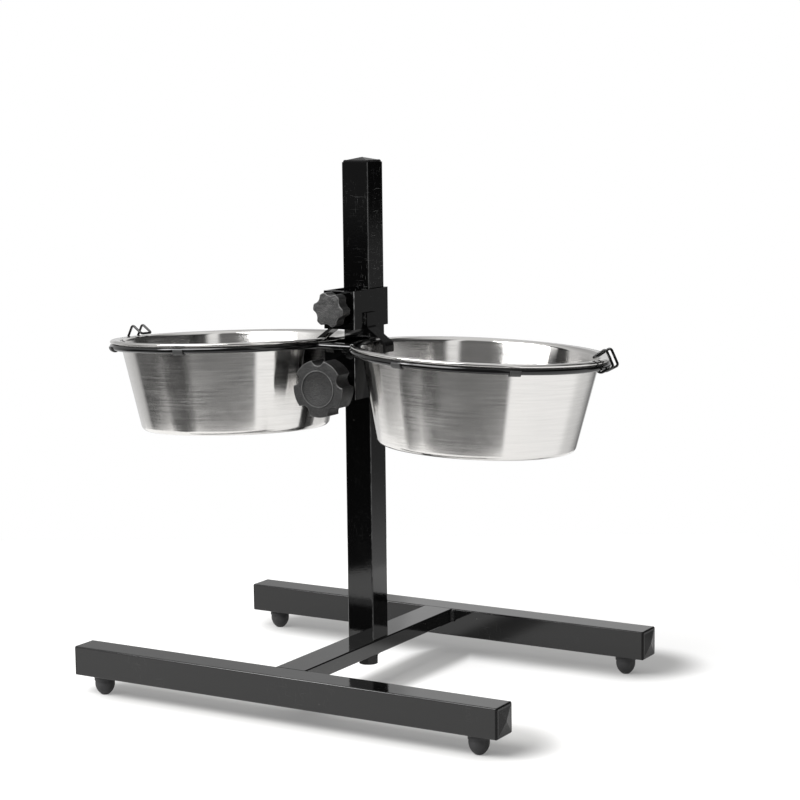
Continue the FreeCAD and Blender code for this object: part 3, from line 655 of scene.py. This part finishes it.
# The post's and the clamps' coats carry a painted highlight along their upright corners.
POST_COAT = Coating(
    "gloss_black_post_coat", specks=0.7, scuffs=0.9, scuffs_from=0.41, spread=0.08, rubbed=0.25
)
CLAMP_COAT = Coating("gloss_black_clamp_coat", rubbed=0.9)
WIRE_COAT = Coating("gloss_black_wire_coat", roughness=0.07, peel_depth=0.000004, specks=0.15, scuffs=0.1)
WELD_COAT = Coating(
    "coated_weld_bead", roughness=0.12, peel_size=0.0024, peel_depth=0.0006, specks=0.2, scuffs=0.0, ior=1.4
)
BLACK_BOLT = Coating(
    "black_oxide_bolt", (0.004, 0.004, 0.0042), roughness=0.26, peel_size=0.0008, peel_depth=0.000008,
    specks=0.2, scuffs=0.1, ior=1.36,
)
CAP_PLASTIC = Moulded(
    "satin_black_cap_plastic", (0.004, 0.004, 0.0042), roughness=0.3, sparkle=0.2, film=0.03, specular=0.15
)
FOOT_RUBBER = Moulded(
    "dark_foot_rubber", (0.021, 0.021, 0.022), roughness=0.66, grain_size=0.0008, grain_depth=0.00004,
    sparkle=0.25, film=0.1,
)
CLIP_PLASTIC = Moulded(
    "dark_clip_plastic", (0.05, 0.05, 0.05), roughness=0.4, grain_size=0.0005, film=0.02
)
PAD_PLASTIC = Moulded("black_pad_nylon", (0.03, 0.03, 0.03))
KNOB_PLASTIC = KnobPlastic("sand_grain_knob_plastic", (0.0145, 0.0144, 0.0142))
SMALL_KNOB_PLASTIC = KnobPlastic(
    "sand_grain_small_knob_plastic", (0.024, 0.0238, 0.0236), roughness=0.46, grain_depth=0.00026,
    axis_height=0.394, lip_radius=0.05, dust=0.05, scuffs=1.0, scuff_reach=0.014,
)
ZINC = Plated("zinc_plate")


class SubAssembly:
    """What every sub-assembly of the feeder shares: making pieces and dressing them."""

    def build(self) -> None:
        """Builds and dresses the sub-assembly; each kind has its own way."""
        raise NotImplementedError

    def finish_piece(
        self, name: str, bm: bmesh.types.BMesh, finish: Finish, nodes: list[str]
    ) -> bpy.types.Object:
        """Turns a bmesh into a piece that stands for CAD nodes.

        Args:
            name: The piece's name.
            bm: Its mesh, which is freed.
            finish: Its finish.
            nodes: The CAD nodes that it stands for; it rides with the first.

        Returns:
            The piece.
        """
        for face in bm.faces:
            face.smooth = True
        mesh = bpy.data.meshes.new(name)
        bm.to_mesh(mesh)
        bm.free()
        mesh.materials.append(finish.material())
        piece = bpy.data.objects.new(name, mesh)
        bpy.context.scene.collection.objects.link(piece)
        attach(piece, NODE_BODY[nodes[0]])
        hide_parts(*nodes)
        LOG.info("%s stands for %s, %d faces", name, ", ".join(nodes), len(mesh.polygons))
        return piece

    def smooth(
        self, node: str, finish: Finish, shading: Shading = Shading.FLAT_FACED, crease_deg: float = 32.0
    ) -> bpy.types.Object:
        """Makes a piece from a node's solid, with smooth bends and true flats.

        Args:
            node: The CAD node.
            finish: The piece's finish.
            shading: Whether large flats rule the normals at their edges.
            crease_deg: The angle from which an edge between two faces stays sharp.

        Returns:
            The piece.
        """
        bm = bmesh.new()
        bm.from_mesh(frame["nodes"][node].data)
        bmesh.ops.remove_doubles(bm, verts=bm.verts, dist=2 * WELD_DISTANCE)
        bmesh.ops.dissolve_degenerate(bm, edges=bm.edges, dist=WELD_DISTANCE)
        for edge in bm.edges:
            edge.smooth = edge.calc_face_angle(0.0) < math.radians(crease_deg)
        piece = self.finish_piece(f"{node}_smooth", bm, finish, [node])
        if shading is Shading.FLAT_FACED:
            weighted = piece.modifiers.new("flats_rule", "WEIGHTED_NORMAL")
            weighted.mode = "FACE_AREA"
            weighted.keep_sharp = True
        return piece

    def spin(self, bm: bmesh.types.BMesh, geom: list, steps: int) -> None:
        """Spins a line once round the Z axis and closes it.

        Args:
            bm: The mesh that holds the line.
            geom: The line's points and edges.
            steps: How many steps the turn takes.
        """
        bmesh.ops.spin(
            bm, geom=geom, cent=(0, 0, 0), axis=(0, 0, 1), angle=FULL_TURN, steps=steps, use_merge=True
        )

    def spin_wire(
        self, bm: bmesh.types.BMesh, centre: tuple[float, float], radius: float, segments: int, steps: int
    ) -> None:
        """Spins a round wire about the Z axis.

        Args:
            bm: The mesh that the wire goes into.
            centre: How far the wire's middle lies from the axis, and how high.
            radius: The wire's radius.
            segments: How many sides the wire has.
            steps: How many steps the turn takes.
        """
        reach, height = centre
        verts = bmesh.ops.create_circle(bm, segments=segments, radius=radius)["verts"]
        stand = Matrix.Translation((reach, 0, height)) @ Matrix.Rotation(math.pi / 2, 4, "X")
        bmesh.ops.transform(bm, matrix=stand, verts=verts)
        edges = dict.fromkeys(edge for vert in verts for edge in vert.link_edges)
        self.spin(bm, [*verts, *edges], steps)


@dataclass
class Base(SubAssembly):
    """The H base: foot bars, crossbar, welds, end caps and rubber feet."""

    rows: tuple[str, ...] = ("front", "rear")

    def build(self) -> None:
        """Builds and dresses the base."""
        self.smooth("crossbar", TUBE_COAT)
        self.smooth("base_welds", WELD_COAT, Shading.ROUND)
        for row in self.rows:
            self.smooth(f"{row}_foot_bar", TUBE_COAT)
            for side in Side:
                self.smooth(f"{row}_{side.word}_cap", CAP_PLASTIC, crease_deg=CAP_CREASE_DEG)
                self.smooth(f"{row}_{side.word}_foot", FOOT_RUBBER)


@dataclass
class Post(SubAssembly):
    """The square post, its cap and the bolt that holds it down."""

    fastening: tuple[str, ...] = ("post_bolt", "post_washer", "post_lock_washer")

    def build(self) -> None:
        """Builds and dresses the post."""
        self.smooth("post", POST_COAT)
        self.smooth("post_cap", CAP_PLASTIC, crease_deg=CAP_CREASE_DEG)
        self.smooth("post_insert", ZINC)
        for node in self.fastening:
            self.smooth(node, BLACK_BOLT)


@dataclass(frozen=True)
class BowlFrame:
    """Where a bowl sits: a frame on its axis at the rim's top, leaning with its ring."""

    side: Side
    reach: float = 0.1458
    depth: float = -0.0225
    rim_top: float = 0.357
    droop_deg: float = 2.3
    lean_deg: float = 2.1

    @property
    def turn(self) -> Triple:
        """The frame's rotation as XYZ angles."""
        return self.matrix().to_euler("XYZ")[:]

    @property
    def centre(self) -> Triple:
        """The frame's origin."""
        return (self.side.value * self.reach, self.depth, self.rim_top)

    def matrix(self) -> Matrix:
        """Returns the frame as a matrix."""
        droop = Matrix.Rotation(self.side.value * math.radians(self.droop_deg), 4, "Y")
        lean = Matrix.Rotation(-math.radians(self.lean_deg), 4, "X")
        return Matrix.Translation(self.centre) @ droop @ lean


@dataclass
class SteelBowl(SubAssembly):
    """A spun bowl with a flat rim and a rolled bead."""

    side: Side
    height: float = 0.0944
    sheet: float = 0.0009
    bead_reach: float = 0.1254
    bead_radius: float = 0.0016
    bead_slack: float = 0.0001
    bead_segments: int = 18
    rim_flat: float = 0.0052
    rim_round: float = 0.005
    bottom_round: float = 0.0055
    bend_segments: int = 9
    slope_deg: float = 12.2
    long_edge: float = 0.03
    long_cuts: int = 7
    steps: int = 168
    map_reach_scale: float = 4.0
    map_height_scale: float = 8.0

    def build(self) -> None:
        """Builds and dresses the bowl."""
        place = BowlFrame(self.side)
        finish = SpunSteel(f"spun_steel_{self.side.word}", place.centre, place.turn)
        bm = bmesh.new()
        self.spin_sheet(bm)
        self.spin_bead(bm)
        self.unroll(bm, finish.uv_name)
        bmesh.ops.transform(bm, matrix=place.matrix(), verts=bm.verts)
        node = f"{self.side.word}_bowl"
        self.finish_piece(f"{node}_spun", bm, finish, [node])

    def spin_sheet(self, bm: bmesh.types.BMesh) -> None:
        """Spins the bowl's sheet from a bent line, and gives it its thickness."""
        slope = math.radians(self.slope_deg)
        lean = self.rim_round * (1 - math.sin(slope)) / math.cos(slope)
        corner = self.bead_reach - self.rim_flat - lean
        low = corner - (self.height - self.sheet) * math.tan(slope)
        bottom = self.sheet - self.height
        line = [(self.bead_reach, 0.0), (corner, 0.0), (low, bottom), (0.0, bottom)]
        points = [bm.verts.new((x, 0.0, z)) for x, z in line]
        for first, second in zip(points, points[1:]):
            bm.edges.new((first, second))
        half = (math.pi / 2 - slope) / 2
        for point, radius in ((points[1], self.rim_round), (points[2], self.bottom_round)):
            bmesh.ops.bevel(
                bm, geom=[point], offset=radius * math.tan(half), offset_type="OFFSET",
                segments=self.bend_segments, profile=0.5, affect="VERTICES", material=-1,
            )
        long = [edge for edge in bm.edges if edge.calc_length() > self.long_edge]
        bmesh.ops.subdivide_edges(bm, edges=long, cuts=self.long_cuts)
        self.spin(bm, bm.verts[:] + bm.edges[:], self.steps)
        bmesh.ops.remove_doubles(bm, verts=bm.verts, dist=WELD_DISTANCE)
        bmesh.ops.recalc_face_normals(bm, faces=bm.faces)
        bm.faces.ensure_lookup_table()
        floor = min(bm.faces, key=lambda face: face.calc_center_median().z)
        if floor.normal.z < 0:
            bmesh.ops.reverse_faces(bm, faces=bm.faces)
        bmesh.ops.solidify(bm, geom=bm.faces[:], thickness=self.sheet)
        bmesh.ops.recalc_face_normals(bm, faces=bm.faces)

    def spin_bead(self, bm: bmesh.types.BMesh) -> None:
        """Spins the rolled bead at the rim's edge."""
        centre = (self.bead_reach, -self.bead_radius)
        self.spin_wire(bm, centre, self.bead_radius, self.bead_segments, self.steps)
        near = self.bead_radius + self.bead_slack
        ring = [
            face for face in bm.faces
            if abs(face.calc_center_median().xy.length - self.bead_reach) < near
        ]
        bmesh.ops.recalc_face_normals(bm, faces=ring)

    def unroll(self, bm: bmesh.types.BMesh, name: str) -> None:
        """Lays out a map with the turn round the axis along U and the height and reach along V."""
        layer = bm.loops.layers.uv.new(name)
        for face in bm.faces:
            middle = face.calc_center_median()
            base = math.atan2(middle.y, middle.x)
            flat = abs(face.normal.z)
            for loop in face.loops:
                spot = loop.vert.co
                reach = spot.xy.length
                turn = math.remainder(math.atan2(spot.y, spot.x) - base, FULL_TURN)
                if reach <= WELD_DISTANCE:
                    turn = 0.0
                up = reach * flat * self.map_reach_scale - spot.z * self.map_height_scale
                loop[layer].uv = ((base + turn) / FULL_TURN, up)


@dataclass
class Carrier(SubAssembly):
    """The clamped carrier: sleeve, wire rings, front rod, welds, clips and clamp nut."""

    ring_radius: float = 0.1242
    ring_drop: float = 0.006557
    wire_radius: float = 0.0032
    wire_segments: int = 24
    steps: int = 160

    def build(self) -> None:
        """Builds and dresses the carrier."""
        self.smooth("carrier_sleeve", CLAMP_COAT)
        self.smooth("front_rod", WIRE_COAT, Shading.ROUND)
        self.smooth("carrier_welds", WELD_COAT, Shading.ROUND)
        self.smooth("carrier_nut", ZINC)
        for side in Side:
            self.ring(side)
            self.smooth(f"{side.word}_ring_clips", CLIP_PLASTIC)

    def ring(self, side: Side) -> None:
        """Spins one wire ring."""
        bm = bmesh.new()
        centre = (self.ring_radius, -self.ring_drop)
        self.spin_wire(bm, centre, self.wire_radius, self.wire_segments, self.steps)
        bmesh.ops.remove_doubles(bm, verts=bm.verts, dist=WELD_DISTANCE)
        bmesh.ops.recalc_face_normals(bm, faces=bm.faces)
        bmesh.ops.transform(bm, matrix=BowlFrame(side).matrix(), verts=bm.verts)
        self.finish_piece(f"{side.word}_wire_ring", bm, WIRE_COAT, [f"{side.word}_ring"])


@dataclass
class HoldDown(SubAssembly):
    """The hold-down: collar, straps, their welds and the clamp nut."""

    def build(self) -> None:
        """Builds and dresses the hold-down."""
        self.smooth("holddown_collar", CLAMP_COAT)
        self.smooth("holddown_welds", WELD_COAT, Shading.ROUND)
        self.smooth("holddown_nut", ZINC)
        for side in Side:
            self.smooth(f"{side.word}_strap", TUBE_COAT)


@dataclass
class Clamp(SubAssembly):
    """A clamp screw: knob, threaded stud and pressure pad."""

    word: str
    finish: Finish = KNOB_PLASTIC

    def build(self) -> None:
        """Builds and dresses the clamp."""
        self.smooth(f"{self.word}_knob", self.finish)
        self.smooth(f"{self.word}_knob_stud", ZINC)
        self.smooth(f"{self.word}_knob_pad", PAD_PLASTIC)


@dataclass
class Bail(SubAssembly):
    """A wire bail that hooks under a ring and dips over the bowl's rim."""

    side: Side

    def build(self) -> None:
        """Builds and dresses the bail."""
        self.smooth(f"{self.side.word}_bail", WIRE_COAT, Shading.ROUND)


@dataclass(frozen=True)
class Lamp:
    """A soft lamp; its place runs to the right, towards the camera and up, its size across and up."""

    name: str
    place: Triple
    size: tuple[float, float]
    watts: float


@dataclass(frozen=True)
class LightRing:
    """A level ring of the light all round.

    It takes over from the ring below between two heights, each the sine of an angle above level. Its
    tones are pairs of an angle from the camera's side, in degrees to the right, and a tone.
    """

    start: float
    full: float
    tones: Tones


LOWEST_RING = LightRing(-1.0, -1.0, (
    (-180, 0.2), (-172, 0.2), (-166, 0.9), (-140, 0.75), (-126, 0.6), (-118, 0.06), (-98, 0.1),
    (-80, 0.1), (-66, 0.06), (-54, 0.06), (-44, 0.18), (0, 0.2), (26, 0.22), (30, 1.25), (108, 1.2),
    (120, 0.9), (135, 0.8), (150, 0.4), (160, 0.2), (180, 0.2),
))
UPPER_RINGS: tuple[LightRing, ...] = (
    LightRing(-0.24, -0.16, (
        (-180, 0.7), (-150, 0.7), (-110, 0.5), (-100, 0.12), (-80, 0.12), (-70, 0.03), (-50, 0.03),
        (-40, 0.14), (20, 0.2), (28, 1.1), (102, 1.1), (110, 0.2), (124, 0.2), (128, 0.07),
        (155, 0.07), (165, 0.7), (180, 0.7),
    )),
    LightRing(-0.066, -0.05, (
        (-180, 0.7), (-150, 0.7), (-110, 0.5), (-100, 0.17), (0, 0.17), (20, 0.2), (28, 1.1),
        (102, 1.1), (110, 0.02), (128, 0.02), (138, 0.7), (180, 0.7),
    )),
    LightRing(0.10, 0.18, (
        (-180, 0.62), (-174, 0.5), (-150, 0.5), (-100, 0.8), (-82, 1.4), (-36, 1.4), (-31, 0.18),
        (19, 0.18), (23, 1.1), (32, 1.1), (37, 0.06), (128, 0.06), (153, 0.1), (162, 0.85), (180, 0.85),
    )),
)


@dataclass(frozen=True)
class Studio:
    """The floor, the soft light all round and the camera."""

    lens: float = 97.9
    sensor_width: float = 36.0
    camera_at: Triple = (1.1438, -1.8696, 0.5995)
    camera_right: Triple = (0.8621, 0.5067, -0.0109)
    camera_up: Triple = (-0.0603, 0.1239, 0.9905)
    camera_back: Triple = (0.5032, -0.8532, 0.1373)
    floor_corners: tuple[tuple[float, float], ...] = (
        (-0.50, 0.39), (-0.50, 0.17), (-0.79, 0.10), (-0.79, -0.75), (0.52, -0.75), (0.52, 0.60),
    )
    floor_colours: tuple[Colour, Colour] = ((0.40, 0.397, 0.39), (0.41, 0.407, 0.40))
    floor_drift_size: float = 0.4
    base_half: tuple[float, float] = (0.20, 0.1615)
    crossbar_weight: float = 2.0
    shadow_shift: Triple = (-0.012, -0.04, 0.0)
    # Where the floor's glow fades near the base to paint a shadow, and the glow's strength near and far.
    glow_distances: tuple[float, float] = (0.035, 0.085)
    glow_levels: tuple[float, float] = (0.2, 0.72)
    top_heights: tuple[float, float] = (0.65, 0.95)
    top_tone: float = 0.9
    tone_scale: float = 1.5
    lamp_target: Triple = (0.0, 0.0, 0.25)
    lamps_hung: tuple[Lamp, ...] = (
        Lamp("broad_soft_lamp", (-0.95, 1.10, 1.85), (1.3, 1.3), 45.0),
        Lamp("strip_lamp", (-1.72, 0.62, 1.50), (0.4, 0.9), 18.0),
    )

    def build(self) -> None:
        """Builds the studio."""
        bpy.context.scene.view_settings.view_transform = "Standard"
        self.light_round()
        self.lamps()
        self.floor()
        self.camera()

    def right_and_front(self) -> tuple[Vector, Vector]:
        """Returns the level directions to the camera's right and towards the camera."""
        right = Vector((self.camera_right[0], self.camera_right[1], 0)).normalized()
        return right, Vector((right.y, -right.x, 0))

    def light_round(self) -> None:
        """Sets the light all round, in level rings under a pale top; the camera sees it as white."""
        world = bpy.data.worlds.new("studio")
        bpy.context.scene.world = world
        tree = Tree.emptied(world)
        ray = tree.put("ShaderNodeTexCoord").outputs["Generated"]
        across, along = (
            tree.vector_math("DOT_PRODUCT", ray, direction).outputs["Value"]
            for direction in self.right_and_front()
        )
        turn = tree.math("ARCTAN2", across, along)
        inputs = {0: turn, 1: -math.pi, 2: math.pi, 3: 0.0, 4: 1.0}
        share = tree.put("ShaderNodeMapRange", inputs).outputs[0]
        height = tree.parts(ray)[2]
        side = self.ring_of_tones(tree, share, LOWEST_RING)
        for ring in UPPER_RINGS:
            tone = self.ring_of_tones(tree, share, ring)
            side = tree.mix(tree.span(height, ring.start, ring.full), side, tone)
        lit = tree.mix(tree.span(height, *self.top_heights), side, grey(self.top_tone))
        studio = tree.put("ShaderNodeBackground", {"Color": lit, "Strength": 1.0})
        white = tree.put("ShaderNodeBackground", {"Color": grey(1.0), "Strength": 1.0})
        seen = tree.put("ShaderNodeLightPath").outputs["Is Camera Ray"]
        both = tree.put("ShaderNodeMixShader", {0: seen, 1: studio.outputs[0], 2: white.outputs[0]})
        tree.put("ShaderNodeOutputWorld", {"Surface": both.outputs[0]})

    def ring_of_tones(self, tree: Tree, share: Socket, ring: LightRing) -> Socket:
        """Returns a ring's tone by direction.

        Args:
            tree: The world's tree.
            share: The direction as a share of a full turn.
            ring: The ring.

        Returns:
            The tone as a colour.
        """
        ramp = tree.put("ShaderNodeValToRGB", {0: share})
        stops = ramp.color_ramp.elements
        while len(stops) > 1:
            stops.remove(stops[-1])
        for number, (angle, tone) in enumerate(ring.tones):
            position = (angle + 180) / 360
            stop = stops[0] if number == 0 else stops.new(position)
            stop.position = position
            stop.color = grey(tone / self.tone_scale)
        return tree.mix(1.0, ramp.outputs[0], grey(self.tone_scale), "MULTIPLY")

    def lamps(self) -> None:
        """Hangs the lamps over the front left, so that shadows fall behind the bars."""
        right, front = self.right_and_front()
        for lamp in self.lamps_hung:
            light = bpy.data.lights.new(lamp.name, "AREA")
            light.shape = "RECTANGLE"
            light.size, light.size_y = lamp.size
            light.energy = lamp.watts
            holder = bpy.data.objects.new(lamp.name, light)
            across, along, height = lamp.place
            holder.location = right * across + front * along + Vector((0, 0, height))
            aim = Vector(self.lamp_target) - holder.location
            holder.rotation_euler = aim.to_track_quat("-Z", "Y").to_euler()
            bpy.context.scene.collection.objects.link(holder)

    def floor(self) -> None:
        """Lays the floor, cut to the patch that the steel mirrors."""
        right, front = self.right_and_front()
        bm = bmesh.new()
        corners = [bm.verts.new(right * across + front * along) for across, along in self.floor_corners]
        bmesh.ops.contextual_create(bm, geom=corners)
        bm.normal_update()
        bmesh.ops.reverse_faces(bm, faces=[face for face in bm.faces if face.normal.z < 0])
        mesh = bpy.data.meshes.new("floor")
        bm.to_mesh(mesh)
        bm.free()
        mesh.materials.append(self.floor_material())
        floor = bpy.data.objects.new("floor", mesh)
        bpy.context.scene.collection.objects.link(floor)

    def floor_material(self) -> bpy.types.Material:
        """Returns a pale matt finish, white away from the base and clear from below; its glow fades near the
        base, which paints a shadow there.
        """
        material = bpy.data.materials.new("pale_floor")
        tree = Tree.emptied(material)
        place = tree.put("ShaderNodeTexCoord").outputs["Object"]
        drift = tree.grouped(Effects.drift(), Vector=place, Size=self.floor_drift_size).outputs[0]
        tone = tree.mix(drift, *(tinted(colour) for colour in self.floor_colours))
        matt = tree.put("ShaderNodeBsdfDiffuse", {"Color": tone})
        path = tree.put("ShaderNodeLightPath").outputs
        seen = tree.math("MAXIMUM", path["Is Camera Ray"], path["Is Glossy Ray"])
        seen = tree.math("MAXIMUM", seen, path["Is Transmission Ray"])
        # Painted shadow: the glow fades near the base, darkest where the bars' shadow falls.
        away = tree.span(self.from_base(tree, place), *self.glow_distances, *self.glow_levels)
        glow = tree.put("ShaderNodeEmission", {"Color": grey(1.0), "Strength": tree.times(seen, away)})
        both = tree.put("ShaderNodeAddShader", {0: matt.outputs[0], 1: glow.outputs[0]})
        backfacing = tree.put("ShaderNodeNewGeometry").outputs["Backfacing"]
        under = tree.times(backfacing, path["Is Camera Ray"])
        clear = tree.put("ShaderNodeBsdfTransparent")
        whole = tree.put("ShaderNodeMixShader", {0: under, 1: both.outputs[0], 2: clear.outputs[0]})
        tree.put("ShaderNodeOutputMaterial", {"Surface": whole.outputs[0]})
        return material

    def from_base(self, tree: Tree, place: Socket) -> Socket:
        """Returns how far a spot on the floor lies from the H base's painted shadow.

        Args:
            tree: The floor's tree.
            place: The spot.

        Returns:
            The distance in metres from the bars' middle lines, moved to where their shadow falls.
        """
        moved = tree.vector_math("ADD", place, self.shadow_shift).outputs[0]
        x, y, _ = tree.parts(tree.vector_math("ABSOLUTE", moved).outputs[0])
        half_long, half_wide = self.base_half
        past_end = tree.math("MAXIMUM", tree.math("SUBTRACT", x, half_long), 0.0)
        from_bar = tree.math("SUBTRACT", y, half_wide)
        past_bar = tree.math("MAXIMUM", from_bar, 0.0)
        to_bars = tree.length(tree.joined(past_end, from_bar))
        to_crossbar = tree.length(tree.joined(tree.times(x, self.crossbar_weight), past_bar))
        return tree.math("MINIMUM", to_bars, to_crossbar)

    def camera(self) -> None:
        """Sets the camera at the photograph's viewing angle."""
        lens = bpy.data.cameras.new("camera")
        lens.sensor_width = self.sensor_width
        lens.sensor_fit = "HORIZONTAL"
        lens.lens = self.lens
        holder = bpy.data.objects.new("camera", lens)
        turn = Matrix((self.camera_right, self.camera_up, self.camera_back)).transposed()
        holder.matrix_world = Matrix.Translation(self.camera_at) @ turn.to_4x4()
        bpy.context.scene.collection.objects.link(holder)
        bpy.context.scene.camera = holder


def main() -> None:
    """Builds the feeder's sub-assemblies in order, then the studio."""
    logging.basicConfig(level=logging.INFO, format="%(name)s: %(message)s")
    parts: list[SubAssembly] = [Base(), Post(), Carrier(), HoldDown()]
    parts += [Clamp("large"), Clamp("small", SMALL_KNOB_PLASTIC)]
    parts += [SteelBowl(side) for side in Side] + [Bail(side) for side in Side]
    for part in parts:
        part.build()
    Studio().build()


if __name__ == "__main__":
    main()
